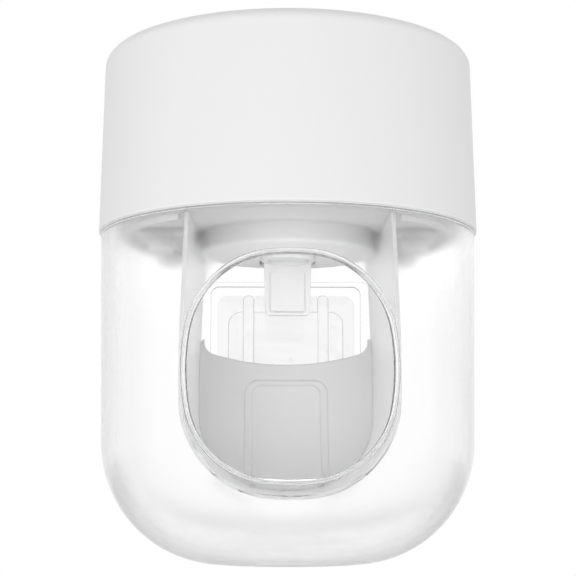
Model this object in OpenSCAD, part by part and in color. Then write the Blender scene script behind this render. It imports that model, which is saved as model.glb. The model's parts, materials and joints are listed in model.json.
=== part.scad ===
// Wall-mounted toothpaste dispenser. A white cap sits on a clear capsule shell with an oval brush opening.
// Lengths are in millimetres. The construction frame has z = 0 at the lowest point of the shell, the shell's
// axis at x = y = 0, the front towards -Y and the wall towards +Y. placed() moves it to the wall mount.

/* [Body] */
// Width of the clear shell across its sides, at the seam
shell_w = 78; // [77:0.5:79]
// Width of the clear shell just above its rounded bottom
shell_low_w = 76.6; // [76:0.2:77]
// Height of the whole dispenser
total_h = 105.5; // [105:0.5:108]
// Height of the shell's top edge
seam_h = 67.4; // [67.2:0.2:68]
// Radius of the rounded bottom corner
corner_r = 24.8; // [24:0.2:26]
// Distance from the axis to the flat back
back_y = 32.5; // [32:0.5:33]
// Rounding where the flat back meets the round sides
edge_r = 5; // [4:0.5:6]
// Wall thickness of the clear shell
wall_t = 2.8; // [2.6:0.1:3]
// Thickness of the shell's flat back wall
back_t = 2.4; // [2.2:0.1:2.5]

/* [Brush opening] */
// Width of the oval opening
open_w = 39.2; // [38:0.2:39.6]
// Height of the oval opening
open_h = 42.1; // [41:0.1:43]
// Height of the centre of the oval opening
open_z = 37.4; // [37:0.1:38]
// Width of the raised lip round the opening
lip_w = 0.9; // [0.6:0.1:1.2]
// Height of the lip over the shell's surface
lip_h = 0.5; // [0.3:0.1:0.7]

/* [Tunnel] */
// Inside width of the tunnel
tunnel_w = 39.2; // [39:0.2:39.8]
// Wall thickness of the tunnel liner
liner_t = 0.8; // [0.8:0.1:1.2]
// Height of the tunnel floor
floor_z = 14.3; // [14:0.1:15]
// Height of the rear panel's scooped edge at its middle
scoop_z = 43; // [42:0.5:44]
// Height of the rear panel at its two ears
ear_z = 48.8; // [48:0.2:50]
// Radius of the sweep from the rear panel to the floor
sweep_r = 22; // [20:0.5:23]
// Thickness of the rear panel
panel_t = 1.6; // [1.4:0.1:1.7]

/* [Cap] */
// Width of the cap at its lower edge
cap_w = 79; // [78.8:0.2:79.4]
// Width of the cap at its top
cap_top_w = 77.4; // [77:0.2:78.4]
// Rounding of the cap's top edge
cap_edge_r = 2.6; // [2:0.2:3]
// Wall thickness of the cap
cap_t = 1.8; // [1.6:0.1:1.8]
// Radius of the hole in the cap over the tube socket
cap_hole_r = 14; // [13.8:0.1:15]

/* [Pump] */
// Distance of the pump's axis in front of the shell's axis
pump_fwd = 3; // [2.8:0.1:3.2]
// Radius of the drum that forms the tunnel's ceiling
drum_r = 18; // [17.8:0.1:18.2]
// Height of the drum's underside
drum_z = 63.2; // [63:0.1:63.4]
// Radius of the collar round the outlet
collar_r = 5.7; // [5.6:0.1:5.8]
// Depth of the outlet collar below the drum
collar_h = 1.2; // [1:0.1:1.4]
// Radius of the socket's bore that grips the tube's neck
socket_r = 5; // [4.5:0.1:5.4]

/* [Lever] */
// Width of the lever's plate at its top
lever_top_w = 10.2; // [10:0.1:10.4]
// Width of the lever's plate at its lower end
lever_low_w = 9.5; // [9:0.1:10]
// Height of the lever's lower end
lever_z = 51.6; // [51:0.1:52.4]
// Radius of the lever's steel pin
pin_r = 1; // [0.9:0.05:1]

/* [Wall bracket] */
// Width of the bracket's plate
plate_w = 34.8; // [34:0.2:36]
// Height of the bracket's plate
plate_h = 44; // [42:0.5:44]
// Height of the top edge of the bracket's plate
plate_top = 61.8; // [61:0.2:62]
// Width of the adhesive pad
pad_w = 32; // [30:0.5:33]
// Height of the adhesive pad
pad_h = 40; // [36:1:40]

/* [Hidden] */
$fn = 96;

// Gap between pieces of different bodies, and the thin gap between pieces of one body
gap = 0.3;
seat = 0.05;
// How far a corner arc is sunk past a wide arc, so that the two cross and don't only touch
cross = 0.03;

shell_r = shell_w / 2;
low_r = shell_low_w / 2;
inner_back = back_y - back_t;
liner_back = inner_back - gap;
edge_flats = 5;

// Chassis levels: the deck lies on the shell's top edge
deck_t = 1.8;
deck_r = shell_r - 1.7;
deck_back = back_y - 1.6;
deck_top = seam_h + deck_t;
skirt_r = 34.4;
skirt_t = 1.5;
skirt_z = seam_h - 1.2;
ring_r = shell_r - 2;
ring_back = back_y - 1.9;
ring_h = 4.2;
ring_t = 1.6;
groove_z = deck_top + 1.4;
groove_h = 1.4;

// Pump levels, upwards from the outlet
drum_t = 1.6;
drum_floor = drum_z + drum_t;
drum_flange_r = drum_r + 4.6;
drum_flange_t = 1.6;
drum_screw_r = drum_r + 2.3;
chamber_r = 6;
chamber_bore_r = 4.6;
foot_r = 6.4;
port_z = drum_floor + 18.6;
port_face = 5.6;
bulb_r = 5.4;
bulb_flange_r = bulb_r + 1.2;
bulb_ring_r = bulb_r + 2.4;
cup_z = port_z + 9;
cup_t = 1.4;
cup_r = 12.2;
cup_wall = 1.6;
cup_top = cup_z + 6.6;
seat_z = cup_z + cup_t;
seat_t = 1.2;
socket_z = seat_z + seat_t;
socket_top = cup_top + 4.4;

// Lever hinge
hinge_y = 9;
hinge_z = drum_floor + 7.7;
cheek_r = 3.4;
cheek_x = 6.6;
cheek_t = 1.6;
hub_r = 2.8;
hub_x = 2;
sleeve_r = 2;
lever_y = 3.9;
lever_t = 1.8;
nose_r = 2;
nose_y = port_face + bulb_r + nose_r + 1.1;

// Rear panel and the bracket's tongue
panel_y = inner_back - 2.4;
panel_front = panel_y - panel_t;
tongue_z0 = 24;
tongue_z1 = 38;
stem_w = 11.2;
head_w = 15.4;
head_y0 = panel_y + gap;
head_y1 = inner_back - gap;
slot_w = stem_w + 2 * gap;
tunnel_corner_r = 17.5;
tunnel_floor_r = 38.5;
bend_z = 42;
wall_lean = 0.036;
flange_x = tunnel_w / 2 + liner_t / 2 - wall_lean * (seam_h - bend_z);
scoop_r = 57;
scoop_corner_r = 3;
arch_w = 18.6;
arch_bead = 1.6;
arch_z = 39.4;
bead_h = 0.7;

// Bracket, from its rails back to the wall
rail_y = back_y + gap;
rail_h = 0.8;
plate_y = rail_y + rail_h;
plate_t = 1.4;
pad_y = plate_y + plate_t;
pad_t = 1;
wall_y = pad_y + pad_t;
mount_z = plate_top - plate_h / 2;

// Relief in the shell's back, a little larger than the plate
relief_w = plate_w + 3.9;
relief_d = 0.4;
relief_r = 1.7;

cap_r = cap_w / 2;
cap_top_r = cap_top_w / 2;
cap_z = seam_h + 0.2;
cap_back = back_y + 0.5;
cap_top_t = 2;
// Chamfer of the cap's lower edge
cap_foot = 0.35;

liner_screw_x = 25.5;
liner_screw_y = 9;

// The point where a line from p touches a circle about c, on its right-hand side
function touch(p, c, r) =
    let (v = p - c, a = atan2(v[1], v[0]) + acos(r / norm(v))) c + r * [cos(a), sin(a)];

// The centre of the corner arc that joins the side arc and the end arc of an oval
function corner_centre(w, h, side_r, end_r, arc_r) =
    let (c1 = [w / 2 - side_r, 0], c2 = [0, h / 2 - end_r], r1 = side_r - arc_r, r2 = end_r - arc_r,
        l = norm(c2 - c1), u = (c2 - c1) / l, t = (r1 * r1 - r2 * r2 + l * l) / (2 * l))
            c1 + t * u + sqrt(r1 * r1 - t * t) * [-u[1], u[0]];

// An oval of eight tangent arcs about the origin, grown outwards or, when negative, inwards
module oval(w, h, side_r, end_r, arc_r, grow = 0) {
    c = corner_centre(w, h, side_r, end_r, arc_r);
    side = c - [w / 2 - side_r, 0];
    end = c - [0, h / 2 - end_r];
    side_z = c[1] + (arc_r + grow) * side[1] / norm(side);
    end_x = c[0] + (arc_r + grow) * end[0] / norm(end);
    for (x = [-c[0], c[0]], z = [-c[1], c[1]]) translate([x, z]) circle(arc_r + grow);
    intersection() {
        square([w + 2 * grow + 2, 2 * side_z], center = true);
        translate([w / 2 - side_r, 0]) circle(side_r + grow);
        translate([side_r - w / 2, 0]) circle(side_r + grow);
    }
    intersection() {
        square([2 * end_x, h + 2 * grow + 2], center = true);
        translate([0, h / 2 - end_r]) circle(end_r + grow);
        translate([0, end_r - h / 2]) circle(end_r + grow);
    }
}

// Moves a piece from the construction frame to the frame of the wall mount
module placed() {
    translate([0, -wall_y, -mount_z]) children();
}

// Extrudes an outline drawn in X and Z from y0 to y1
module along_y(y0, y1) {
    translate([0, y1, 0]) rotate([90, 0, 0]) linear_extrude(y1 - y0) children();
}

// Extrudes an outline drawn in Y and Z from x0 to x1
module along_x(x0, x1) {
    translate([x0, 0, 0]) rotate([90, 0, 90]) linear_extrude(x1 - x0) children();
}

// A cylinder along Z between two heights
module post(r, z0, z1) {
    translate([0, 0, z0]) cylinder(r = r, h = z1 - z0);
}

// A block between two corners
module block(a, b) {
    translate(a) cube(b - a);
}

// A rectangle centred on x = 0 with rounded corners, drawn between two heights
module rounded_rect(w, z0, z1, r) {
    translate([-w / 2, z0 + r]) square([w, z1 - z0 - 2 * r]);
    translate([-w / 2 + r, z0]) square([w - 2 * r, z1 - z0]);
    for (x = [-w / 2 + r, w / 2 - r], z = [z0 + r, z1 - r]) translate([x, z]) circle(r);
}

// The plan of the body: a circle with a flat back, and short flats that round the two edges beside it
module d_outline(r, back, rho, over = 0) {
    cx = sqrt(pow(r - rho, 2) - pow(back - rho, 2));
    cy = back - rho;
    turn = (90 - atan2(cy, cx)) / edge_flats;
    reach = rho / cos(turn / 2);
    corners = [for (i = [0:edge_flats - 2])
        let (a = 90 - turn * (i + 0.5)) [cx + reach * cos(a), cy + reach * sin(a)]];
    last = 90 - turn * (edge_flats - 1);
    far = 4 * r;
    side = concat(corners, [corners[edge_flats - 2] + r * [sin(last), -cos(last)], [far, -far]]);
    n = len(side);
    intersection() {
        circle(r + over);
        polygon(concat(side, [for (i = [1:n]) [-side[n - i][0], side[n - i][1]]]));
    }
}

module d_prism(r, back, rho, z0, z1, over = 0) {
    translate([0, 0, z0]) linear_extrude(z1 - z0) d_outline(r, back, rho, over);
}

// Half of the shell's upright section, grown outwards or, when negative, inwards
module shell_section(grow, top) {
    polygon([[0, -grow], [low_r - corner_r, -grow], [low_r + grow, corner_r],
        [shell_r + grow, top], [0, top]]);
    intersection() {
        translate([low_r - corner_r, corner_r]) circle(corner_r + grow);
        translate([0, -5]) square([shell_r + 5, corner_r + 5]);
    }
}

module shell_solid(grow, top) {
    rotate_extrude() shell_section(grow, top);
}

module opening_outline(grow) {
    translate([0, open_z]) oval(open_w, open_h, 1.04 * open_w, 1.06 * open_h, 0.424 * open_w, grow);
}

// A U about x = 0: straight sides and two corner arcs over one wide arc, grown outwards or, when negative, inwards
module u_outline(w, low, top, corner_r, end_r, grow = 0, bend = 0, lean = 0) {
    corner_x = w / 2 - corner_r;
    side_x = w / 2 + grow;
    top_x = side_x - lean * (top - bend);
    corner_z = low + end_r - sqrt(pow(end_r - corner_r, 2) - pow(corner_x, 2)) - cross;
    arc_x = corner_x * (end_r + grow) / (end_r - corner_r);
    intersection() {
        translate([0, low + end_r]) circle(end_r + grow);
        translate([-arc_x, low - grow - 1]) square([2 * arc_x, corner_z - low + grow + 2]);
    }
    for (x = [-corner_x, corner_x]) translate([x, corner_z]) circle(corner_r + grow);
    if (lean == 0) translate([-side_x, corner_z]) square([2 * side_x, top - corner_z]);
    else polygon([[-side_x, corner_z], [side_x, corner_z], [side_x, bend], [top_x, top],
        [-top_x, top], [-side_x, bend]]);
}

// Upright section of the tunnel, whose walls lean in above the bend
module tunnel_outline(grow, top) {
    u_outline(tunnel_w, floor_z, top, tunnel_corner_r, tunnel_floor_r, grow, bend_z, wall_lean);
}

// The tongue's slot: an arch with rounded shoulders that is open below
module arch_outline(w, top, r) {
    translate([-w / 2, -5]) square([w, top - r + 5]);
    translate([-w / 2 + r, 0]) square([w - 2 * r, top]);
    for (x = [-w / 2 + r, w / 2 - r]) translate([x, top - r]) circle(r);
}

module adhesive_pad() {
    color([0.95, 0.96, 0.97, 0.5])
    along_y(pad_y, wall_y) rounded_rect(pad_w, mount_z - pad_h / 2, mount_z + pad_h / 2, 2.5);
}

module wall_bracket() {
    plate_low = plate_top - plate_h;
    color([0.93, 0.95, 0.97, 0.5]) {
        along_y(plate_y, pad_y) rounded_rect(plate_w, plate_low, plate_top, 2);
        // Raised field that carries the tongue
        along_y(plate_y - 0.4, plate_y) rounded_rect(26.4, plate_low + 5, plate_top - 6, 3);
        // Two upright rails that keep the dispenser square to the wall
        for (side = [-1, 1]) translate([side * 8.6, 0, 0])
            along_y(rail_y, plate_y) rounded_rect(2.4, plate_low + 2, plate_top - 2.2, 1.1);
        // Tongue: a narrow stem with a wide head, which the shell's slot drops over
        along_y(head_y1 - 0.5, plate_y) rounded_rect(stem_w, tongue_z0, tongue_z1, 2);
        along_y(head_y0, head_y1) rounded_rect(head_w, tongue_z0, tongue_z1, 2.5);
    }
}

module clear_shell() {
    color([0.95, 0.96, 0.98, 0.35])
    difference() {
        union() {
            intersection() {
                shell_solid(0, seam_h);
                d_prism(shell_r, back_y, edge_r, -1, seam_h + 1, 1);
            }
            // Raised lip round the brush opening
            intersection() {
                shell_solid(lip_h, seam_h - 1);
                along_y(-shell_r - 5, -20) opening_outline(lip_w);
            }
        }
        intersection() {
            shell_solid(-wall_t, seam_h + 1);
            d_prism(shell_r - wall_t, inner_back, edge_r - 1.5, 0, seam_h + 2, 1);
        }
        along_y(-shell_r - 6, -15) opening_outline(0);
        // Slot for the bracket's tongue, with a wider way in through the bottom for its head
        along_y(inner_back - 1, back_y + 1) arch_outline(slot_w, tongue_z1 + gap, 2 + gap);
        block([-head_w / 2 - gap, head_y0 - gap, -1], [head_w / 2 + gap, back_y + 1, 13]);
        // Shallow relief in the back that the bracket's plate lies against
        along_y(back_y - relief_d, back_y + 1) rounded_rect(relief_w, -2, plate_top + 0.8, relief_r);
    }
}

module tunnel_liner() {
    color([0.93, 0.93, 0.94])
    difference() {
        union() {
            difference() {
                intersection() {
                    along_y(-shell_r, liner_back) tunnel_outline(liner_t, seam_h);
                    shell_solid(-wall_t - 0.3, seam_h);
                }
                along_y(-shell_r - 1, shell_r) tunnel_outline(0, seam_h + 1);
            }
            // Side flanges with screw bosses, tight under the chassis deck
            for (side = [-1, 1]) {
                x0 = side > 0 ? flange_x : -30;
                x1 = side > 0 ? 30 : -flange_x;
                block([x0, -12, seam_h - 1.6], [x1, 12, seam_h]);
                for (y = [-liner_screw_y, liner_screw_y])
                    translate([side * liner_screw_x, y, 0]) post(2.6, seam_h - 4.4, seam_h);
            }
        }
        for (x = [-liner_screw_x, liner_screw_x], y = [-liner_screw_y, liner_screw_y])
            translate([x, y, 0]) post(1.22, seam_h - 4.6, seam_h + 1);
        // Way through the floor for the head of the bracket's tongue
        block([-head_w / 2 - gap, head_y0 - 0.6, 0], [head_w / 2 + gap, shell_r, 20]);
    }
}

// Upright section of the rear panel: a wall that sweeps forward into the floor, front face moved by cut
module panel_section(front, rear) {
    cy = panel_front - sweep_r;
    cz = floor_z + sweep_r;
    translate([front, cz]) square([rear - front, ear_z - cz]);
    intersection() {
        difference() {
            translate([cy, cz]) circle(rear - cy);
            translate([cy, cz]) circle(front - cy);
        }
        translate([cy + 4, floor_z - 3]) square([sweep_r + 5, cz - floor_z + 3]);
    }
}

module rear_panel() {
    color([0.82, 0.83, 0.84])
    intersection() {
        union() {
            along_x(-tunnel_w / 2, tunnel_w / 2) panel_section(panel_front, panel_y);
            // Raised bead in the shape of an arch, over the pocket that the tongue fills
            intersection() {
                along_x(-arch_w / 2 - 1, arch_w / 2 + 1) panel_section(panel_front - bead_h, panel_front + 0.2);
                difference() {
                    along_y(0, shell_r) arch_outline(arch_w, arch_z, 3);
                    along_y(-1, shell_r + 1) arch_outline(arch_w - 2 * arch_bead, arch_z - 1.1, 2.2);
                }
            }
        }
        difference() {
            along_y(0, shell_r) tunnel_outline(-seat, ear_z + 1);
            along_y(-1, shell_r + 1) u_outline(tunnel_w - 2.2, scoop_z, ear_z + 10, scoop_corner_r, scoop_r);
            for (side = [-1, 1]) translate([side * (tunnel_w / 2 + 1), 0, ear_z + 1.6])
                rotate([0, 45, 0]) cube([5, 3 * shell_r, 3.2], center = true);
        }
    }
}

module chassis() {
    color([0.9, 0.9, 0.91])
    difference() {
        union() {
            d_prism(deck_r, deck_back, edge_r - 0.6, seam_h, deck_top);
            // Locating ring that the cap slides over, with a groove for the seal
            difference() {
                d_prism(ring_r, ring_back, edge_r - 0.8, deck_top, deck_top + ring_h);
                d_prism(ring_r - ring_t, ring_back - ring_t, edge_r - 2, deck_top, deck_top + ring_h + 1);
                difference() {
                    post(shell_r + 2, groove_z, groove_z + groove_h);
                    d_prism(ring_r - 0.8, ring_back - 0.8, edge_r - 1.5, groove_z - 1, groove_z + groove_h + 1);
                }
            }
            // Skirt inside the shell, open where the tunnel passes
            difference() {
                post(skirt_r, skirt_z, seam_h);
                post(skirt_r - skirt_t, skirt_z - 1, seam_h + 1);
                block([-tunnel_w / 2 - liner_t - 0.4, -shell_r, skirt_z - 1],
                    [tunnel_w / 2 + liner_t + 0.4, shell_r, seam_h]);
            }
            // Stiffening ribs on the deck
            for (a = [0, 50, 130, 180, 230, 310])
                rotate([0, 0, a]) block([drum_flange_r + 3.4, -0.6, deck_top], [ring_r - 0.8, 0.6, deck_top + 1.8]);
        }
        translate([0, -pump_fwd, 0]) {
            post(drum_r + gap, seam_h - 1, deck_top + 3);
            for (a = [90, 210, 330]) rotate([0, 0, a]) translate([drum_screw_r, 0, 0]) post(1.02, seam_h - 1, deck_top + 1);
        }
        for (x = [-liner_screw_x, liner_screw_x], y = [-liner_screw_y, liner_screw_y])
            translate([x, y, 0]) post(1.4, seam_h - 1, deck_top + 1);
    }
}

// A pan-head screw pointing down, with its head's underside at z = 0
module screw(shaft_r, length, head_r) {
    difference() {
        union() {
            post(shaft_r, -length, 0.2);
            intersection() {
                post(head_r, 0, 1.5);
                translate([0, 0, 1.5 - 2 * head_r]) sphere(2 * head_r);
            }
        }
        for (a = [0, 90]) rotate([0, 0, a]) block([-head_r * 0.6, -0.25, 0.8], [head_r * 0.6, 0.25, 2]);
    }
}

module liner_screws() {
    color([0.75, 0.76, 0.78])
    for (x = [-liner_screw_x, liner_screw_x], y = [-liner_screw_y, liner_screw_y])
        translate([x, y, deck_top]) screw(1.2, deck_t + 3.6, 2.3);
}

module cap_seal() {
    color([0.85, 0.86, 0.88])
    difference() {
        d_prism(ring_r + 0.35, ring_back + 0.35, edge_r - 0.6, groove_z + seat, groove_z + groove_h - seat);
        d_prism(ring_r - 0.75, ring_back - 0.75, edge_r - 1.5, groove_z - 1, groove_z + groove_h + 1);
    }
}

module pump_drum() {
    slot_y1 = hinge_y + 1.2;
    color([0.94, 0.94, 0.95])
    difference() {
        union() {
            translate([0, -pump_fwd, 0]) difference() {
                union() {
                    post(drum_r, drum_z, deck_top);
                    post(drum_flange_r, deck_top, deck_top + drum_flange_t);
                }
                post(drum_r - 1.6, drum_floor, deck_top + 3);
            }
            // Socket ring that centres the chamber's foot
            translate([0, -pump_fwd, 0]) difference() {
                post(foot_r + 1.2, drum_floor - 0.2, drum_floor + 2.4);
                post(foot_r + seat, drum_floor - 0.2, drum_floor + 3);
                block([-10, 5, drum_floor], [10, 12, drum_floor + 3]);
            }
            // Two cheeks that carry the lever's pin
            for (x = [-cheek_x - cheek_t, cheek_x]) along_x(x, x + cheek_t) {
                translate([hinge_y, hinge_z]) circle(cheek_r);
                polygon([[hinge_y - cheek_r, drum_floor - 0.2], [hinge_y + cheek_r, drum_floor - 0.2],
                    [hinge_y + cheek_r, hinge_z], [hinge_y - cheek_r, hinge_z]]);
            }
        }
        translate([0, -pump_fwd, 0]) {
            post(5, drum_floor - 0.9, drum_floor + 0.1);
            post(3.85, drum_z - 1, drum_floor);
            for (a = [90, 210, 330]) rotate([0, 0, a]) translate([drum_screw_r, 0, 0])
                post(1.15, deck_top - 1, deck_top + 3);
        }
        block([-lever_top_w / 2 - 0.8, lever_y - 0.6, drum_z - 1], [lever_top_w / 2 + 0.8, slot_y1, drum_floor + 0.1]);
        along_x(-cheek_x - cheek_t - 1, cheek_x + cheek_t + 1)
            translate([hinge_y, hinge_z]) circle(pin_r + 0.01);
    }
}

module pump_screws() {
    color([0.75, 0.76, 0.78])
    translate([0, -pump_fwd, deck_top + drum_flange_t])
        for (a = [90, 210, 330]) rotate([0, 0, a]) translate([drum_screw_r, 0, 0])
            screw(1, drum_flange_t + 1.6, 2);
}

module outlet_collar() {
    low = drum_z - collar_h;
    edge = 0.4;
    color([0.96, 0.96, 0.97])
    translate([0, -pump_fwd, 0]) difference() {
        rotate_extrude() {
            polygon([[4.4, low], [collar_r - edge, low], [collar_r, low + edge], [collar_r, drum_z], [4.4, drum_z]]);
            translate([collar_r - edge, low + edge]) circle(edge);
        }
        post(4, low - 1, drum_z + 1);
    }
}

// Duckbill of soft silicone: a flange, a neck and two lips that close to a slit
module outlet_valve() {
    flange_z = drum_floor - 0.85;
    color([0.88, 0.9, 0.92])
    translate([0, -pump_fwd, 0]) difference() {
        union() {
            post(4.9, flange_z, flange_z + 0.8);
            post(3.7, drum_z - 0.2, flange_z + 0.1);
            intersection() {
                post(3.7, drum_z - 1, drum_z);
                along_x(-4, 4) polygon([[-3.7, drum_z], [3.7, drum_z], [0.6, drum_z - 1], [-0.6, drum_z - 1]]);
            }
        }
        intersection() {
            post(2.9, drum_z - 0.4, flange_z + 1);
            along_x(-4, 4) polygon([[-2.9, drum_z], [-2.9, flange_z + 1], [2.9, flange_z + 1], [2.9, drum_z],
                [0.3, drum_z - 0.4], [-0.3, drum_z - 0.4]]);
        }
        block([-2.4, -0.1, drum_z - 2], [2.4, 0.1, drum_z]);
    }
}

module pump_chamber() {
    color([0.92, 0.93, 0.95])
    translate([0, -pump_fwd, 0]) difference() {
        union() {
            post(foot_r, drum_floor, drum_floor + 1.4);
            post(chamber_r, drum_floor, cup_z + cup_t);
            post(cup_r, cup_z, cup_top);
            // Side port for the bulb
            along_y(0, port_face + pump_fwd) translate([0, port_z]) circle(bulb_r - 0.4);
            along_y(port_face + pump_fwd - 1.3, port_face + pump_fwd) translate([0, port_z]) circle(bulb_flange_r + 0.1);
            // Webs that stiffen the cup over the chamber
            for (a = [0, 180, 270]) rotate([0, 0, a])
                along_y(-0.7, 0.7) polygon([[chamber_r - 0.5, cup_z - 8], [cup_r, cup_z], [chamber_r - 0.5, cup_z]]);
        }
        post(chamber_bore_r, drum_floor + 1.4, seat_z + 1);
        post(2.4, drum_floor - 1, drum_floor + 2);
        post(cup_r - cup_wall, seat_z, cup_top + 1);
        along_y(0, port_face + pump_fwd + 1) translate([0, port_z]) circle(bulb_r - 1.6);
    }
}

// Plate with a ring of feed holes that the inlet valve closes from below
module inlet_valve_seat() {
    color([0.9, 0.92, 0.95])
    translate([0, -pump_fwd, seat_z]) difference() {
        post(cup_r - cup_wall - 0.15, 0, seat_t);
        for (i = [0:5]) rotate([0, 0, 60 * i]) translate([2.9, 0, 0]) post(1, -1, seat_t + 1);
        post(0.9, -1, seat_t + 1);
    }
}

// Mushroom valve: a thin disc with a stem and a knob that snaps through the seat
module inlet_valve() {
    color([0.86, 0.88, 0.9])
    translate([0, -pump_fwd, seat_z]) {
        post(chamber_bore_r - 0.3, -0.75, -0.05);
        post(0.85, -0.1, seat_t + 0.4);
        translate([0, 0, seat_t + 0.5]) sphere(0.95);
    }
}

// Silicone socket at the top that grips the tube's neck, with a star slit in its membrane
module tube_socket() {
    bore_z = socket_z + 2.4;
    color([0.88, 0.89, 0.91])
    translate([0, -pump_fwd, 0]) difference() {
        union() {
            post(cup_r - cup_wall - 0.15, socket_z + seat, cup_top);
            post(cup_r, cup_top, cup_top + 1.6);
            post(9.2, cup_top + 1, socket_top);
        }
        post(4.4, socket_z - 1, bore_z - 0.8);
        post(socket_r, bore_z, socket_top + 1);
        rotate_extrude() polygon([[0, socket_top - 1.3], [socket_r, socket_top - 1.3],
            [socket_r + 1.8, socket_top + 0.1], [0, socket_top + 0.1]]);
        for (i = [0:2]) rotate([0, 0, 60 * i]) block([-3.6, -0.2, bore_z - 2], [3.6, 0.2, bore_z + 1]);
    }
}

module socket_ring() {
    color([0.95, 0.95, 0.96])
    translate([0, -pump_fwd, 0]) difference() {
        post(cup_r + 1.2, cup_top - 2, cup_top + 3);
        post(cup_r + 0.12, cup_top - 3, cup_top + 1.65);
        post(9.35, cup_top, cup_top + 4);
        // Finger grips round the rim
        for (i = [0:11]) rotate([0, 0, 30 * i]) translate([cup_r + 2.1, 0, 0]) post(1.2, cup_top - 3, cup_top + 4);
    }
}

// Hollow silicone bulb on the chamber's side port
module pump_bulb() {
    wall = 1.1;
    color([0.87, 0.88, 0.9])
    translate([0, port_face, port_z]) rotate([-90, 0, 0]) rotate_extrude() difference() {
        intersection() {
            union() {
                translate([0, seat]) square([bulb_flange_r, 0.9]);
                translate([0, 0.8]) circle(bulb_r);
            }
            translate([0, seat]) square(20);
        }
        translate([0, 0.8]) circle(bulb_r - wall);
    }
}

module bulb_ring() {
    color([0.9, 0.92, 0.95])
    difference() {
        along_y(port_face - 1.2, port_face + 1.8) translate([0, port_z]) circle(bulb_ring_r);
        along_y(port_face - 2, port_face + 1.05) translate([0, port_z]) circle(bulb_flange_r + 0.2);
        along_y(port_face, port_face + 3) translate([0, port_z]) circle(bulb_r + 0.15);
    }
}

module push_lever() {
    plate_top_z = drum_floor + 1;
    color([0.9, 0.9, 0.91])
    difference() {
        union() {
            // Tapered plate that the brush head pushes
            intersection() {
                along_x(-10, 10) polygon([[lever_y, lever_z], [lever_y + lever_t, lever_z],
                    [lever_y + lever_t, plate_top_z], [lever_y, plate_top_z]]);
                along_y(0, 20) {
                    polygon([[-lever_low_w / 2, lever_z + 1], [lever_low_w / 2, lever_z + 1],
                        [lever_top_w / 2, plate_top_z], [-lever_top_w / 2, plate_top_z]]);
                    rounded_rect(lever_low_w, lever_z, lever_z + 4, 0.9);
                }
            }
            // Web from the plate up to the hub, beside the spring
            along_x(-lever_top_w / 2 + 0.1, hub_x) polygon([[lever_y, plate_top_z - 1.2],
                [lever_y + lever_t, plate_top_z - 1.2], [hinge_y + 1.8, hinge_z - 2.1],
                [hinge_y, hinge_z], [hinge_y - 2.7, hinge_z - 0.6], [lever_y, plate_top_z]]);
            // Hub, its narrower sleeve, and the arm that presses the bulb
            along_x(-cheek_x + 0.4, hub_x) translate([hinge_y, hinge_z]) circle(hub_r);
            along_x(0, cheek_x - 0.4) translate([hinge_y, hinge_z]) circle(sleeve_r);
            along_x(-4, hub_x) polygon([[hinge_y, hinge_z + 2.6], [hinge_y + 2.6, hinge_z],
                [nose_y + nose_r, port_z - 3], [nose_y + nose_r, port_z],
                [nose_y, port_z + 0.5], [nose_y - 1.7, port_z - 2]]);
            along_x(-4, 4) translate([nose_y, port_z]) circle(nose_r);
        }
        along_x(-10, 10) translate([hinge_y, hinge_z]) circle(pin_r + 0.06);
        // Square recess in the plate's face
        along_y(lever_y - 1, lever_y + 0.5) rounded_rect(7.3, lever_z + 0.8, lever_z + 9.3, 0.5);
    }
}

module lever_pin() {
    half = cheek_x + cheek_t + 0.3;
    color([0.78, 0.79, 0.8])
    along_x(-half, half) translate([hinge_y, hinge_z]) circle(pin_r);
}

// Torsion spring: coil points, then the ring of points round one centre
spring_wire = 0.3;
spring_r = 2.6;
spring_turns = 4.5;
spring_x0 = 5.7;
spring_pitch = 0.7;
spring_steps = 8;
spring_sides = 6;
spring_leg = 7.4;
spring_tail = 7.4;

function spring_ring(centre, a) = [
    for (i = [0:spring_sides - 1])
        let (phi = 360 * i / spring_sides, out = spring_wire * cos(phi), along = spring_wire * sin(phi))
            [centre[0] + along, centre[1] + out * cos(a), centre[2] + out * sin(a)]
];

function coil_point(t) = let (a = 360 * t) [spring_x0 - spring_pitch * t,
    hinge_y + spring_r * cos(a), hinge_z + spring_r * sin(a)];

module return_spring() {
    steps = spring_turns * spring_steps;
    coil = [for (i = [0:steps]) spring_ring(coil_point(i / spring_steps), 360 * i / spring_steps)];
    first = spring_ring(coil_point(0) - [0, 0, spring_leg], 0);
    last = spring_ring(coil_point(spring_turns) - [0, 0, spring_tail], 360 * spring_turns);
    rings = concat([first], coil, [last]);
    n = len(rings);
    points = [for (ring = rings) each ring];
    sides = [
        for (r = [0:n - 2], i = [0:spring_sides - 1])
            let (j = (i + 1) % spring_sides, a = r * spring_sides, b = a + spring_sides)
                each [[a + i, a + j, b + j], [a + i, b + j, b + i]]
    ];
    ends = concat(
        [for (i = [1:spring_sides - 2]) [0, i + 1, i]],
        [for (i = [1:spring_sides - 2]) [(n - 1) * spring_sides, (n - 1) * spring_sides + i, (n - 1) * spring_sides + i + 1]]
    );
    color([0.7, 0.71, 0.73]) polyhedron(points, concat(sides, ends));
}

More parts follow.
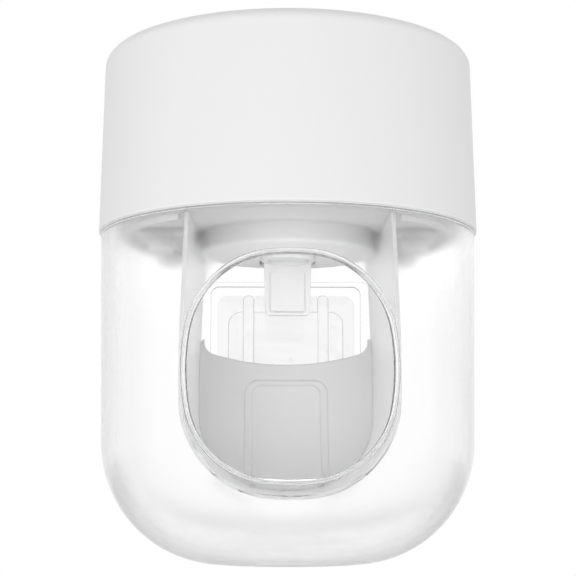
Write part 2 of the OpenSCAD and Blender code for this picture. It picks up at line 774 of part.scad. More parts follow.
module top_cap() {
    inner_top = total_h - cap_top_t;
    foot = [cap_r, cap_z + cap_foot];
    edge_c = [cap_top_r - cap_edge_r, total_h - cap_edge_r];
    color([0.97, 0.97, 0.97])
    difference() {
        union() {
            difference() {
                intersection() {
                    rotate_extrude() {
                        polygon([[0, cap_z], [cap_r - cap_foot, cap_z], foot,
                            touch(foot, edge_c, cap_edge_r), edge_c, [edge_c[0], total_h], [0, total_h]]);
                        translate(edge_c) circle(cap_edge_r);
                    }
                    d_prism(cap_r, cap_back, edge_r, cap_z - 1, total_h + 1, 1);
                }
                intersection() {
                    rotate_extrude() polygon([[0, cap_z - 1], [cap_r - cap_t, cap_z - 1],
                        [cap_top_r - cap_t, inner_top - 1.5], [cap_top_r - cap_t - 1.5, inner_top], [0, inner_top]]);
                    d_prism(cap_r - cap_t, cap_back - cap_t, edge_r - 1, cap_z - 2, inner_top + 1, 1);
                }
            }
            // Collar under the top, round the tube socket
            translate([0, -pump_fwd, 0]) post(cap_hole_r + 1.4, inner_top - 4, inner_top + 0.5);
        }
        translate([0, -pump_fwd, 0]) post(cap_hole_r, inner_top - 5, total_h + 1);
    }
}

placed() adhesive_pad();
placed() wall_bracket();
placed() clear_shell();
placed() tunnel_liner();
placed() rear_panel();
placed() chassis();
placed() liner_screws();
placed() cap_seal();
placed() pump_drum();
placed() pump_screws();
placed() outlet_collar();
placed() outlet_valve();
placed() pump_chamber();
placed() inlet_valve_seat();
placed() inlet_valve();
placed() tube_socket();
placed() socket_ring();
placed() pump_bulb();
placed() bulb_ring();
placed() push_lever();
placed() lever_pin();
placed() return_spring();
placed() top_cap();
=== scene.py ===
import json
import math

import bmesh
import bpy
from mathutils import Matrix, Vector
from mathutils.kdtree import KDTree


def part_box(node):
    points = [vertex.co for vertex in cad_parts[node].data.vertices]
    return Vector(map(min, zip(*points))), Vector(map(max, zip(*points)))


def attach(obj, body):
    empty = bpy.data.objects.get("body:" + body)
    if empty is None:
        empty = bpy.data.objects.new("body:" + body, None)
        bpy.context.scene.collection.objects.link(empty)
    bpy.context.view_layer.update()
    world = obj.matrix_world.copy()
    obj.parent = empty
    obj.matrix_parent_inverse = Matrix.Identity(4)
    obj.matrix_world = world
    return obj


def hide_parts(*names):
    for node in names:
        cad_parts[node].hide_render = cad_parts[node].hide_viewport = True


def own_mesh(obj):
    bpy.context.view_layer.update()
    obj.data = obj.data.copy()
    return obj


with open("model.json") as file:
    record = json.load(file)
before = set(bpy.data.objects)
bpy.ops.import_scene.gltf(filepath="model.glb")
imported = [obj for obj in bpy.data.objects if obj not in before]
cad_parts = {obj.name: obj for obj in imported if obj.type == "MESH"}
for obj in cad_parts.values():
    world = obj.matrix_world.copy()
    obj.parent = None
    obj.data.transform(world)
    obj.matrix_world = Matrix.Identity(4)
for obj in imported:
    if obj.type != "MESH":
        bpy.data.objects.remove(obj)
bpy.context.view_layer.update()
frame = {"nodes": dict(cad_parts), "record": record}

# ---------------------------------------------------------------------------
# Studio
# The dispenser hangs in the air as if its wall were taken away, in a pale tent
# that is white wherever the camera, a reflection or the clear plastic sees it.
# Light may bounce often, so that it gets through the clear and milky walls.

MM_IN_M = 1000.0

scene = bpy.context.scene
scene.view_settings.view_transform = "Standard"
scene.cycles.max_bounces = 64
scene.cycles.transmission_bounces = 60
scene.cycles.diffuse_bounces = 10
scene.cycles.glossy_bounces = 8
scene.cycles.transparent_max_bounces = 16


class Flow:
    """A value, colour or vector on its way through a material's nodes."""

    def __init__(self, socket):
        self.socket = socket

    def node(self, kind, inputs, output=0, **settings):
        """Adds a node: its settings first, then the values or links of its inputs."""
        tree = self.socket.id_data
        made = tree.nodes.new("ShaderNode" + kind)
        for name, value in settings.items():
            setattr(made, name, value)
        for name, value in inputs.items():
            if isinstance(value, Flow):
                tree.links.new(value.socket, made.inputs[name])
            else:
                made.inputs[name].default_value = value
        return Flow(made.outputs[output])

    def math(self, operation, *others):
        """A Math node that starts from this value."""
        return self.node("Math", dict(enumerate((self, *others))), operation=operation)

    def __add__(self, other):
        return self.math("ADD", other)

    __radd__ = __add__

    def __mul__(self, other):
        return self.math("MULTIPLY", other)

    __rmul__ = __mul__

    def __sub__(self, other):
        return self.math("SUBTRACT", other)

    def __rsub__(self, other):
        return self.node("Math", {0: other, 1: self}, operation="SUBTRACT")

    def __pow__(self, other):
        return self.math("POWER", other)

    def __abs__(self):
        return self.math("ABSOLUTE")

    def axis(self, index):
        """One of a vector's three numbers."""
        return self.node("SeparateXYZ", {0: self}, output=index)

    def step(self, low, high):
        """0 below low and 1 above high, with a soft change between them."""
        return self.node("MapRange", {0: self, 1: low, 2: high}, interpolation_type="SMOOTHSTEP")

    def noise(self, size, detail=2.0, stretch=(1.0, 1.0, 1.0)):
        """Even noise at this point, with lumps of this size in millimetres."""
        spot = self.node("VectorMath", {0: self, 1: stretch}, operation="MULTIPLY")
        return self.node("TexNoise", {"Vector": spot, "Scale": MM_IN_M / size, "Detail": detail})

    def bump(self, depth):
        """The surface's direction with this value raised on it: 1 is depth millimetres high."""
        return self.node("Bump", {"Height": self, "Strength": 1.0, "Distance": depth / MM_IN_M})

    def tint(self, dark, light):
        """A colour between two colours."""
        dark, light = (c if isinstance(c, Flow) else (*c, 1.0) for c in (dark, light))
        return self.node("Mix", {0: self, 6: dark, 7: light}, output=2, data_type="RGBA")


def feed(shader, **flows):
    """Links changing values to a shader's sockets."""
    for socket, flow in flows.items():
        shader.id_data.links.new(flow.socket, shader.inputs[socket.replace("_", " ")])


def seen_directly(tree):
    """1 for the camera, in a reflection and through clear plastic, and 0 for other light."""
    ray = tree.nodes.new("ShaderNodeLightPath").outputs
    seen = Flow(ray["Is Camera Ray"]).math("MAXIMUM", Flow(ray["Is Glossy Ray"]))
    return seen.math("MAXIMUM", Flow(ray["Is Transmission Ray"]))


TENT_GLOW = 0.56
world = bpy.data.worlds.new("Tent")
world.use_nodes = True
scene.world = world
tent = world.node_tree.nodes["Background"]
tent.inputs["Color"].default_value = (1.0, 1.0, 1.0, 1.0)
feed(tent, Strength=TENT_GLOW + seen_directly(world.node_tree) * (1.0 - TENT_GLOW))

camera = bpy.data.objects.new("Camera", bpy.data.cameras.new("Camera"))
scene.collection.objects.link(camera)
scene.camera = camera
camera.data.sensor_width = 36.0
camera.data.lens = 92.1
camera.data.clip_start = 0.01
camera.data.clip_end = 40.0
camera.location = (-0.0045, -0.3422, -0.0254)
camera.rotation_euler = (math.radians(97.9), 0.0, math.radians(-0.85))

LAMP_AIM = Vector((0.0, -0.036, 0.0))
for name, spot, width, watts in (
    ("Upper soft box", (-0.08, -0.92, 0.14), 0.45, 1.6),
    ("Lower soft box", (-0.02, -0.90, -0.30), 0.45, 1.0),
    ("Under soft box", (0.0, -0.40, -0.38), 0.5, 1.2),
    ("Left soft box", (-0.95, -0.35, 0.05), 0.8, 1.9),
    ("Right soft box", (0.95, -0.25, 0.05), 0.8, 1.5),
    ("Back soft box", (0.15, 0.75, 0.55), 0.8, 3.0),
):
    lamp = bpy.data.objects.new(name, bpy.data.lights.new(name, "AREA"))
    lamp.data.size = width
    lamp.data.energy = watts
    lamp.location = spot
    lamp.visible_camera = False
    lamp.visible_glossy = False
    lamp.rotation_euler = (LAMP_AIM - lamp.location).to_track_quat("-Z", "Y").to_euler()
    scene.collection.objects.link(lamp)

FLOOR_WIDTH = 6.0
FLOOR_Z = -0.4
FLOOR_SHADE = 0.9
FLOOR_GLOW = 0.15
bpy.ops.mesh.primitive_plane_add(size=FLOOR_WIDTH, location=(0.0, 0.0, FLOOR_Z))
floor = bpy.context.object
floor.name = "Floor"
floor_paint = bpy.data.materials.new("Pale floor")
floor_paint.use_nodes = True
paint = floor_paint.node_tree.nodes["Principled BSDF"]
paint.inputs["Base Color"].default_value = (FLOOR_SHADE, FLOOR_SHADE, FLOOR_SHADE, 1.0)
paint.inputs["Emission Strength"].default_value = 1.0
seen = seen_directly(floor_paint.node_tree)
feed(paint, Emission_Color=seen.tint((0.0, 0.0, 0.0), (FLOOR_GLOW,) * 3))
floor.data.materials.append(floor_paint)

# ---------------------------------------------------------------------------
# Wall bracket
# A clear moulded plate with two rails, a raised field and the tongue that the
# dispenser drops over. Its edges are rounded, and the roundings are tinted grey
# as painted shade, so they show as fine dark lines.

# Points this close, in metres, are joined, faces that turn this little become one, and edges
# that turn this much are rounded, at most this many times as wide as the rest.
SAME_POINT = 2e-6
FLAT_TURN = math.radians(0.6)
SHARP_TURN = math.radians(32)
WIDEST_SHARE = 4

CLEAR_PLASTIC = {"Transmission_Weight": 1.0, "Specular_Tint": (0.12, 0.12, 0.12, 1.0)}
BRACKET_IOR = 1.35


def finish(name, colour, roughness, **constants):
    """A material with constant values on its shader.
    Returns it, its shader and the place of a point on the part."""
    made = bpy.data.materials.new(name)
    made.use_nodes = True
    shader = made.node_tree.nodes["Principled BSDF"]
    shader.inputs["Base Color"].default_value = (*colour, 1.0)
    shader.inputs["Roughness"].default_value = roughness
    for key, value in constants.items():
        shader.inputs[key.replace("_", " ")].default_value = value
    place = Flow(made.node_tree.nodes.new("ShaderNodeTexCoord").outputs["Object"])
    return made, shader, place


def soften(node, width, material, share=None, edges=None):
    """Stands a copy of a CAD node in its place, with its sharp edges rounded off as a mould
    leaves them, width millimetres wide. share takes the middle of an edge and gives how many
    times that width its rounding gets, and edges is a material for the roundings alone."""
    shape = bmesh.new()
    shape.from_mesh(frame["nodes"][node].data)
    bmesh.ops.remove_doubles(shape, verts=shape.verts, dist=SAME_POINT)
    bmesh.ops.dissolve_limit(
        shape, angle_limit=FLAT_TURN, verts=shape.verts, edges=shape.edges, delimit=set()
    )
    weight = shape.edges.layers.float.new("bevel_weight_edge")
    for edge in shape.edges:
        if len(edge.link_faces) == 2 and edge.calc_face_angle(0.0) > SHARP_TURN:
            times = share((edge.verts[0].co + edge.verts[1].co) / 2) if share else 1.0
            edge[weight] = times / WIDEST_SHARE
            edge.smooth = times > 0
    mesh = bpy.data.meshes.new(node + "_rounded")
    shape.to_mesh(mesh)
    shape.free()
    mesh.shade_smooth()
    mesh.materials.append(material)
    piece = bpy.data.objects.new(node + "_rounded", mesh)
    scene.collection.objects.link(piece)
    rounding = piece.modifiers.new("Rounding", "BEVEL")
    rounding.limit_method = "WEIGHT"
    rounding.width = width * WIDEST_SHARE / MM_IN_M
    rounding.segments = 2
    rounding.use_clamp_overlap = False
    if edges:
        mesh.materials.append(edges)
        rounding.material = 1
    piece.modifiers.new("Even shading", "WEIGHTED_NORMAL").keep_sharp = True
    bodies = frame["record"]["behaviour"]["bodies"]
    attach(piece, next(body for body, members in bodies.items() if node in members))
    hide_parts(node)
    return piece


clear_bracket, shader, place = finish(
    "Clear bracket", (1.0, 1.0, 1.0), 0.02, IOR=BRACKET_IOR, **CLEAR_PLASTIC
)
feed(
    shader,
    Roughness=place.noise(size=3.0) * 0.03,
    Normal=place.noise(size=9.0, detail=1.0).bump(0.01),
)
# The roundings get a grey tint: painted shade that draws the clear edges as dark lines.
painted_shade_edge, shader, place = finish(
    "Bracket edge painted shade", (0.55, 0.56, 0.57), 0.05, IOR=BRACKET_IOR, **CLEAR_PLASTIC
)
feed(shader, Base_Color=place.noise(size=5.0).tint((0.5, 0.51, 0.52), (0.62, 0.63, 0.64)))
soften("wall_bracket", 0.12, clear_bracket, edges=painted_shade_edge)

# ---------------------------------------------------------------------------
# Adhesive pad
# A clear gel sheet that sticks the bracket to the wall, with a few fine
# bubbles in it.

BUBBLES_PER_M = 220.0
GEL_ALPHA = 0.16
BUBBLE_ALPHA = 0.07

gel, shader, place = finish("Clear gel", (0.97, 0.98, 0.98), 0.25)
from_bubble = place.node("TexVoronoi", {"Vector": place, "Scale": BUBBLES_PER_M})
feed(
    shader,
    Alpha=GEL_ALPHA - from_bubble.step(0.08, 0.16) * (GEL_ALPHA - BUBBLE_ALPHA),
    Normal=from_bubble.step(0.0, 0.12).bump(0.1),
)
soften("adhesive_pad", 0.2, gel)

# ---------------------------------------------------------------------------
# Clear shell
# One thick-walled clear moulding, open at the top, with a flat back and an
# oval brush opening that has a rounded lip. Its walls are finely satined, less
# so round the opening, and its back is polished.

# Millimetres from the shell's axis and its lowest point, as in the part's source.
WALL_Y = 36.0
MOUNT_Z = 39.8
SEAM = 67.4
SHELL_R = 39.0
SHELL_LOW_R = 38.3
CORNER_R = 24.8
WALL = 2.8
BACK = 32.5
BACK_WALL = 2.4
BACK_EDGE_R = 5.0
INNER_EDGE_R = 3.5
SIDE_LEAN = math.atan((SHELL_R - SHELL_LOW_R) / (SEAM - CORNER_R))
CORNER_MIDDLE = SHELL_LOW_R - CORNER_R

COLUMNS = 240
CORNER_STEPS = 40
SIDE_STEPS = 12
FLAT_STEPS = 4
EDGE_STEPS = 12
SHOULDER_STEPS = 8


def section(grow, top):
    """Radii and heights along half of the shell's upright section, from its axis to its top."""
    r = CORNER_R + grow
    turns = [
        math.pi / 2 + (SIDE_LEAN - math.pi / 2) * i / CORNER_STEPS for i in range(CORNER_STEPS + 1)
    ]
    corner = [(CORNER_MIDDLE + r * math.cos(a), CORNER_R - r * math.sin(a)) for a in turns]
    last_r, last_z = corner[-1]
    heights = [last_z + (top - last_z) * i / SIDE_STEPS for i in range(1, SIDE_STEPS + 1)]
    side = [(last_r + (z - last_z) * math.tan(SIDE_LEAN), z) for z in heights]
    flat = [(CORNER_MIDDLE * i / FLAT_STEPS, -grow) for i in range(FLAT_STEPS)]
    return flat + corner + side + [(0.0, top)]


def solid(name, corners, faces):
    """A closed mesh, with its faces turned outwards."""
    shape = bmesh.new()
    points = [shape.verts.new(corner) for corner in corners]
    for face in faces:
        shape.faces.new([points[i] for i in face])
    bmesh.ops.recalc_face_normals(shape, faces=shape.faces)
    mesh = bpy.data.meshes.new(name)
    shape.to_mesh(mesh)
    shape.free()
    made = bpy.data.objects.new(name, mesh)
    scene.collection.objects.link(made)
    return made


def turned(name, points):
    """A solid turned about the dispenser's axis."""
    corners, faces, rings = [], [], []
    for r, z in points:
        count = COLUMNS if r else 1
        rings.append([len(corners) + i for i in range(count)])
        for i in range(count):
            turn = 2 * math.pi * i / COLUMNS
            corners.append((r * math.sin(turn), r * math.cos(turn), z))
    for low, high in zip(rings, rings[1:]):
        for i in range(COLUMNS):
            j = (i + 1) % COLUMNS
            loop = [low[i % len(low)], low[j % len(low)], high[j % len(high)], high[i % len(high)]]
            faces.append(tuple(dict.fromkeys(loop)))
    return solid(name, corners, faces)


def drawn(name, outline, axis, low, high):
    """A solid between two copies of an outline, which is in X and Z and drawn along Y,
    or in X and Y and drawn along Z."""
    n = len(outline)
    corners = [
        (u, end, v) if axis == "Y" else (u, v, end) for end in (low, high) for u, v in outline
    ]
    faces = [tuple(range(n)), tuple(range(n, 2 * n))]
    faces += [(i, (i + 1) % n, n + (i + 1) % n, n + i) for i in range(n)]
    return solid(name, corners, faces)


def settle(piece):
    """Makes a piece's modifiers part of its mesh."""
    bpy.context.view_layer.update()
    shaped = piece.evaluated_get(bpy.context.evaluated_depsgraph_get())
    done = bpy.data.meshes.new_from_object(shaped)
    piece.modifiers.clear()
    piece.data = done


def carve(target, tool, how):
    """Cuts target with tool, or joins the two, and throws the tool away."""
    step = target.modifiers.new(how, "BOOLEAN")
    step.operation = how
    step.solver = "MANIFOLD"
    step.object = tool
    settle(target)
    bpy.data.objects.remove(tool)


# How far the cutting tools reach: below the shell and above it, past a face that they cut
# through, beside the shell, and on from the back's rounded edges along its sides.
BELOW = -5.0
ABOVE = 80.0
PAST = 1.0
BESIDE = 120.0
FLANK = 60


def back_corner(r, back, rho):
    """The middle of the rounding, of radius rho, between a round wall and the flat back,
    and the direction of that middle from the axis."""
    middle = Vector((math.sqrt((r - rho) ** 2 - (back - rho) ** 2), back - rho))
    return middle, math.atan2(middle.y, middle.x)


def flat_back(name, r, back, rho):
    """A tall block that keeps all but what lies behind the flat back and its rounded edges."""
    middle, start = back_corner(r, back, rho)
    turns = [start + (math.pi / 2 - start) * i / EDGE_STEPS for i in range(EDGE_STEPS + 1)]
    edge = [(middle.x + rho * math.cos(a), middle.y + rho * math.sin(a)) for a in turns]
    far = (edge[0][0] + FLANK * math.sin(start), edge[0][1] - FLANK * math.cos(start))
    right = [(BESIDE, -BESIDE), far] + edge
    return drawn(name, right + [(-x, y) for x, y in reversed(right)], "Z", BELOW, ABOVE)


# The brush opening is an oval of eight arcs that run into one another: one at each side,
# one at each end, and four between them. These are its sizes, and the middles of the arcs
# in its upper right quarter, from its own middle.
OPEN_W = 39.2
OPEN_H = 42.1
OPEN_Z = 37.4
SIDE_R = 1.04 * OPEN_W
END_R = 1.06 * OPEN_H
ARC_R = 0.424 * OPEN_W
side_middle = Vector((OPEN_W / 2 - SIDE_R, 0.0))
end_middle = Vector((0.0, OPEN_H / 2 - END_R))
across = (end_middle - side_middle).length
unit = (end_middle - side_middle) / across
side_reach, end_reach = SIDE_R - ARC_R, END_R - ARC_R
along = (side_reach**2 - end_reach**2 + across**2) / (2 * across)
aside = math.sqrt(side_reach**2 - along**2)
arc_middle = side_middle + along * unit + aside * Vector((-unit.y, unit.x))
side_turn = math.atan2(arc_middle.y, arc_middle.x - side_middle.x)
end_turn = math.atan2(arc_middle.y - end_middle.y, arc_middle.x)


def oval(turn, grow):
    """The point of the brush opening's oval, in X and Z, that faces this direction."""
    c, s = math.cos(turn), math.sin(turn)
    lean = math.atan2(abs(s), abs(c))
    middle, r = arc_middle, ARC_R
    if lean < side_turn:
        middle, r = side_middle, SIDE_R
    if lean > end_turn:
        middle, r = end_middle, END_R
    x = middle.x + (r + grow) * math.cos(lean)
    z = middle.y + (r + grow) * math.sin(lean)
    return math.copysign(x, c), OPEN_Z + math.copysign(z, s)


def turned_wall(grow):
    """A function that gives a point's distance from the shell's turned surface, grown outwards
    or, when negative, inwards, and that surface's direction there."""

    def look(p):
        r = math.hypot(p.x, p.y)
        out, up = r - CORNER_MIDDLE, p.z - CORNER_R
        if out < 0 and up < 0:
            return -grow - p.z, Vector((0, 0, -1))
        flat = Vector((math.cos(SIDE_LEAN), -math.sin(SIDE_LEAN)))
        off = out * flat.x + up * flat.y
        if up < -out * math.tan(SIDE_LEAN):
            off = math.hypot(out, up)
            flat = Vector((out, up)) / off
        return off - CORNER_R - grow, Vector((flat.x * p.x / r, flat.x * p.y / r, flat.y))

    return look


def back_wall(r, back, rho):
    """The same for the flat back and its rounded edges."""
    middle = back_corner(r, back, rho)[0]

    def look(p):
        out = Vector((abs(p.x) - middle.x, p.y - middle.y))
        if out.x < 0:
            return p.y - back, Vector((0, 1, 0))
        return out.length - rho, Vector((math.copysign(out.x, p.x), out.y, 0)) / out.length

    return look


# The lip is a round bar along the oval. It is thicker at the top, it stands further out at
# the sides and the bottom, and its middle is sunk a little under the shell's surface.
RIM_POINTS = 300
BAR_POINTS = 20
LIP_R = 0.58
LIP_R_TOP = 0.08
LIP_OUT = 0.1
LIP_OUT_SIDES = 0.25
LIP_OUT_BOTTOM = 0.1
LIP_SUNK = 0.12
SURFACE_TRIES = 6


def lip_path(turn):
    """The middle of the lip's bar, the shell's direction there, and the bar's radius."""
    grow = LIP_OUT + LIP_OUT_SIDES * math.cos(turn) ** 2 - LIP_OUT_BOTTOM * math.sin(turn)
    x, z = oval(turn, grow)
    outer = turned_wall(0.0)
    y = -math.sqrt(SHELL_R**2 - x**2)
    for again in range(SURFACE_TRIES):
        off, out = outer(Vector((x, y, z)))
        y -= off / out.y
    return Vector((x, y, z)) - LIP_SUNK * out, out, LIP_R + LIP_R_TOP * math.sin(turn)


lip_middles = [lip_path(2 * math.pi * i / RIM_POINTS) for i in range(RIM_POINTS)]
corners, faces, lip_along = [], [], []
for i, (middle, out, r) in enumerate(lip_middles):
    ahead = (lip_middles[(i + 1) % RIM_POINTS][0] - lip_middles[i - 1][0]).normalized()
    out = (out - out.dot(ahead) * ahead).normalized()
    side = ahead.cross(out)
    lip_along.append(ahead)
    here, there = i * BAR_POINTS, (i + 1) % RIM_POINTS * BAR_POINTS
    for k in range(BAR_POINTS):
        turn = 2 * math.pi * k / BAR_POINTS
        corners.append(middle + r * (math.cos(turn) * out + math.sin(turn) * side))
        m = (k + 1) % BAR_POINTS
        faces.append((here + k, here + m, there + m, there + k))
lip = solid("lip", corners, faces)

BORE_OUT = 0.06
BORE_FRONT = -50.0
BORE_END = -15.0
shell = turned("clear_shell_smooth", section(0.0, SEAM))
carve(shell, flat_back("back", SHELL_R, BACK, BACK_EDGE_R), "INTERSECT")
hollow = turned("hollow", section(-WALL, SEAM + 2 * PAST))
inner_back = (SHELL_R - WALL, BACK - BACK_WALL, INNER_EDGE_R)
carve(hollow, flat_back("inner back", *inner_back), "INTERSECT")
carve(shell, hollow, "DIFFERENCE")
bore = [oval(2 * math.pi * i / RIM_POINTS, BORE_OUT) for i in range(RIM_POINTS)]
carve(shell, drawn("bore", bore, "Y", BORE_FRONT, BORE_END), "DIFFERENCE")
carve(shell, lip, "UNION")


def arch(w, top, r):
    """The outline of an upright slot with rounded shoulders, open below."""
    turns = [math.pi / 2 * i / SHOULDER_STEPS for i in range(SHOULDER_STEPS + 1)]
    shoulder = [(w / 2 - r + r * math.cos(a), top - r + r * math.sin(a)) for a in turns]
    right = [(w / 2, BELOW)] + shoulder
    return right + [(-x, z) for x, z in reversed(right)]


# Width, top and shoulder radius of the cuts in the back: the tongue's slot, the way in for
# its head, and the shallow relief for the bracket's plate.
TONGUE_SLOT = (11.8, 38.3, 2.3)
HEAD_WAY = (16.0, 13.0, 0.4)
PLATE_RELIEF = (38.7, 62.6, 1.7)
HEAD_WAY_FRONT = 27.4
RELIEF_DEPTH = 0.4
for name, outline, front in (
    ("slot", TONGUE_SLOT, BACK - BACK_WALL - PAST),
    ("way", HEAD_WAY, HEAD_WAY_FRONT),
    ("relief", PLATE_RELIEF, BACK - RELIEF_DEPTH),
):
    carve(shell, drawn(name, arch(*outline), "Y", front, BACK + PAST), "DIFFERENCE")

lip_tree = KDTree(RIM_POINTS)
for i in range(RIM_POINTS):
    lip_tree.insert(lip_middles[i][0], i)
lip_tree.balance()


def lip_wall(p):
    """The distance and the direction for the rounded lip."""
    middle, i = lip_tree.find(p)[:2]
    out = p - middle
    out -= out.dot(lip_along[i]) * lip_along[i]
    return out.length - lip_middles[i][2], out.normalized() if out.length else Vector((0, -1, 0))


# The corners of each face get the exact direction of the wall that the face belongs to, so
# that the shell bends light without facets.
FACE_OFF = 0.03
FACE_FACING = 0.97
SHARP_CORNER = math.radians(35)
walls = [
    turned_wall(0.0),
    turned_wall(-WALL),
    back_wall(SHELL_R, BACK, BACK_EDGE_R),
    back_wall(*inner_back),
    lip_wall,
]
mesh = shell.data
mesh.shade_smooth()
mesh.set_sharp_from_angle(angle=SHARP_CORNER)
directions = [Vector(corner.vector) for corner in mesh.corner_normals]
for face in mesh.polygons:
    for wall in walls:
        off, out = wall(face.center)
        facing = face.normal.dot(out)
        if abs(off) < FACE_OFF and abs(facing) > FACE_FACING:
            for corner in face.loop_indices:
                point = mesh.vertices[mesh.loops[corner].vertex_index].co
                directions[corner] = wall(point)[1] * math.copysign(1.0, facing)
            break
mesh.normals_split_custom_set(directions)
mesh.transform(
    Matrix.Scale(1 / MM_IN_M, 4) @ Matrix.Translation((0.0, -WALL_Y, -MOUNT_Z))
)

# The full satin starts away from the oval, by a measure that is about 1 along it, or behind
# the lip, and it ends at the back. Depths are millimetres behind the axis. The roughness of
# the back, of the rim, what the satin adds to that, and how uneven the satin is.
RIM_POWER = 2.35
OFF_RIM = (1.14, 1.32)
BEHIND_LIP = (-20.0, -16.0)
AT_BACK = (26.0, 28.5)
POLISHED = 0.005
SMOOTH = 0.08
SATIN = 0.05
UNEVEN = 0.03

clear, shader, place = finish("Clear shell", (1.0, 1.0, 1.0), 0.12, IOR=1.45, **CLEAR_PLASTIC)
deep = place.axis(1) * MM_IN_M + WALL_Y
from_rim = (
    abs(place.axis(0) * (2 * MM_IN_M / OPEN_W)) ** RIM_POWER
    + abs((place.axis(2) * MM_IN_M + MOUNT_Z - OPEN_Z) * (2.0 / OPEN_H)) ** RIM_POWER
)
satin = from_rim.step(*OFF_RIM).math("MAXIMUM", deep.step(*BEHIND_LIP))
back = deep.step(*AT_BACK)
cloud = place.noise(size=14.0, detail=3.0)
feed(
    shader,
    Roughness=POLISHED + (1.0 - back) * (SMOOTH + satin * (SATIN + cloud * UNEVEN)),
    Normal=place.noise(size=18.0, detail=1.0).bump(0.004),
)
mesh.materials.clear()
mesh.materials.append(clear)
for face in mesh.polygons:
    face.material_index = 0
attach(shell, "housing")
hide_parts("clear_shell")

# ---------------------------------------------------------------------------
# Tunnel liner
# A thin milky channel that leads from the opening to the back, moulded with
# flanges that are screwed up under the deck. It lets light through.

milky, shader, place = finish(
    "Milky liner", (0.975, 0.975, 0.975), 0.3, IOR=1.45,
    Subsurface_Weight=1.0, Subsurface_Scale=0.008, Subsurface_Radius=(1.0, 1.0, 1.0)
)
streaks = place.noise(size=18.0, detail=3.0, stretch=(1.0, 0.3, 1.0))
feed(
    shader,
    Base_Color=streaks.tint((0.98, 0.98, 0.982), (0.995, 0.995, 0.995)),
    Roughness=0.25 + place.noise(size=0.5) * 0.1,
    Normal=place.noise(size=0.35).bump(0.004),
)
soften("tunnel_liner", 0.22, milky)

# ---------------------------------------------------------------------------
# Rear panel
# The pale grey wall at the back of the tunnel, which sweeps forward into its
# floor. A raised bead in the shape of an arch covers the bracket's tongue.

PANEL_SIDE = 17.5


def satin_plastic(name, dark, light, roughness, grain=0.005):
    """Moulded plastic with a fine eroded satin, a little uneven in colour and gloss."""
    made, shader, place = finish(name, light, roughness, IOR=1.46)
    eroded = place.noise(size=0.22)
    feed(
        shader,
        Base_Color=place.noise(size=22.0, detail=3.0).tint(dark, light),
        Roughness=roughness - 0.05 + place.noise(size=6.0, detail=3.0) * 0.06 + eroded * 0.05,
        Normal=eroded.bump(grain),
    )
    return made


def panel_edge(middle):
    """No rounding where the panel meets the liner."""
    return 0.0 if abs(middle.x) > PANEL_SIDE / MM_IN_M else 1.0


grey = satin_plastic("Grey panel", (0.87, 0.87, 0.875), (0.90, 0.90, 0.90), 0.42)
soften("rear_panel", 0.28, grey, panel_edge)

# ---------------------------------------------------------------------------
# Chassis
# The white deck under the cap, with the ring that the cap slides over. It is
# glued to the shell's top edge.

white = satin_plastic("White moulding", (0.80, 0.80, 0.805), (0.83, 0.83, 0.83), 0.42)
soften("chassis", 0.18, white)

# ---------------------------------------------------------------------------
# Pump
# A white drum hangs through the deck, with a small collar at the outlet. Its side
# is painted grey as painted shade, and its underside, the tunnel's ceiling, is
# painted paler as painted light from below. A chamber stands on it and carries
# the socket for the tube's neck. The soft parts are dull, dusty silicone.

# Heights, in millimetres, where the drum's underside, painted paler as painted light from below,
# gives way to its side.
PAINTED_LIGHT_TOP = (63.3, 63.8)
SILICONE_SHADE = 0.84

# The drum is white plastic painted grey here: painted shade.
drum = satin_plastic("Drum", (0.66, 0.66, 0.665), (0.69, 0.69, 0.69), 0.42)
shader = drum.node_tree.nodes["Principled BSDF"]
side = Flow(shader.inputs["Base Color"].links[0].from_socket)
place = Flow(drum.node_tree.nodes["Texture Coordinate"].outputs["Object"])
# Below these heights the underside is painted paler, 0.9, as painted light from below; above them
# the side keeps its painted shade.
painted_shade_side = (place.axis(2) * MM_IN_M + MOUNT_Z).step(*PAINTED_LIGHT_TOP)
feed(shader, Base_Color=painted_shade_side.tint((0.9, 0.9, 0.9), side))
soften("pump_drum", 0.2, drum)
soften("outlet_collar", 0.15, white)
natural = satin_plastic("Natural moulding", (0.84, 0.86, 0.87), (0.87, 0.89, 0.9), 0.3)
soften("pump_chamber", 0.2, natural)
soften("inlet_valve_seat", 0.12, natural)
soften("bulb_ring", 0.2, natural)
soften("socket_ring", 0.25, white)

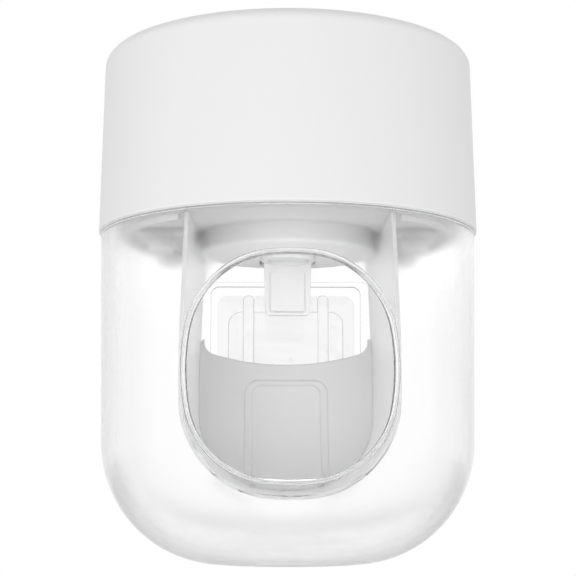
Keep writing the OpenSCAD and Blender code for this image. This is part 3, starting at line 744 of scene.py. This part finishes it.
soft, shader, place = finish(
    "Silicone", (SILICONE_SHADE,) * 3, 0.5, IOR=1.41,
    Subsurface_Weight=0.6, Subsurface_Scale=0.002, Subsurface_Radius=(1.0, 0.95, 0.9)
)
dust = place.noise(size=2.5, detail=4.0)
feed(
    shader,
    Base_Color=dust.tint((SILICONE_SHADE - 0.03,) * 3, (SILICONE_SHADE + 0.02,) * 3),
    Roughness=0.45 + dust * 0.15,
    Normal=place.noise(size=0.3).bump(0.006),
)
soften("cap_seal", 0.15, soft)
soften("outlet_valve", 0.15, soft)
soften("inlet_valve", 0.15, soft)
soften("tube_socket", 0.25, soft)

# The bulb's rounded copy takes its modifiers into a mesh of its own.
bulb = soften("pump_bulb", 0.2, soft)
settle(bulb)
low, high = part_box("pump_bulb")
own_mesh(bulb)

# ---------------------------------------------------------------------------
# Lever, pin and spring
# The lever's plate hangs in the opening, with a shallow square recess in its
# face. It turns on a steel pin, and a torsion spring brings it back.

# Where the recess is, in the shell's measures, and how much wider its edges are rounded.
PLATE_FACE = 3.9
RECESS_HALF_W = 3.7
RECESS_TOP = 61.3
PLATE_RIM = 0.4
SAME_FACE = 0.1
RECESS_SHARE = 2.4

low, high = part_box("push_lever")


def recess_edge(middle):
    """Wider rounding round the recess in the plate's face."""
    x, deep, up = middle.x * MM_IN_M, middle.y * MM_IN_M + WALL_Y, middle.z * MM_IN_M + MOUNT_Z
    on_face = abs(deep - PLATE_FACE) < SAME_FACE
    above_rim = up > low.z * MM_IN_M + MOUNT_Z + PLATE_RIM
    inside = abs(x) < RECESS_HALF_W and up < RECESS_TOP and above_rim
    return RECESS_SHARE if on_face and inside else 1.0


lever_white = satin_plastic("Lever", (0.90, 0.90, 0.90), (0.92, 0.92, 0.92), 0.38)
soften("push_lever", 0.18, lever_white, recess_edge)

steel, shader, place = finish("Steel", (0.62, 0.63, 0.64), 0.28, Metallic=1.0)
drawn_lines = place.noise(size=0.15, detail=3.0, stretch=(0.1, 1.0, 1.0))
feed(shader, Roughness=0.2 + drawn_lines * 0.2, Normal=drawn_lines.bump(0.003))
soften("lever_pin", 0.12, steel)
soften("pump_screws", 0.06, steel)
soften("liner_screws", 0.06, steel)
for slot in frame["nodes"]["return_spring"].material_slots:
    slot.material = steel

# ---------------------------------------------------------------------------
# Top cap
# A white moulded cap with a very fine satin, a push fit over the chassis ring,
# with the hole for the tube's neck in its top.

cap_white = satin_plastic("White cap", (0.745, 0.745, 0.745), (0.76, 0.76, 0.76), 0.42, 0.004)
soften("top_cap", 0.25, cap_white)
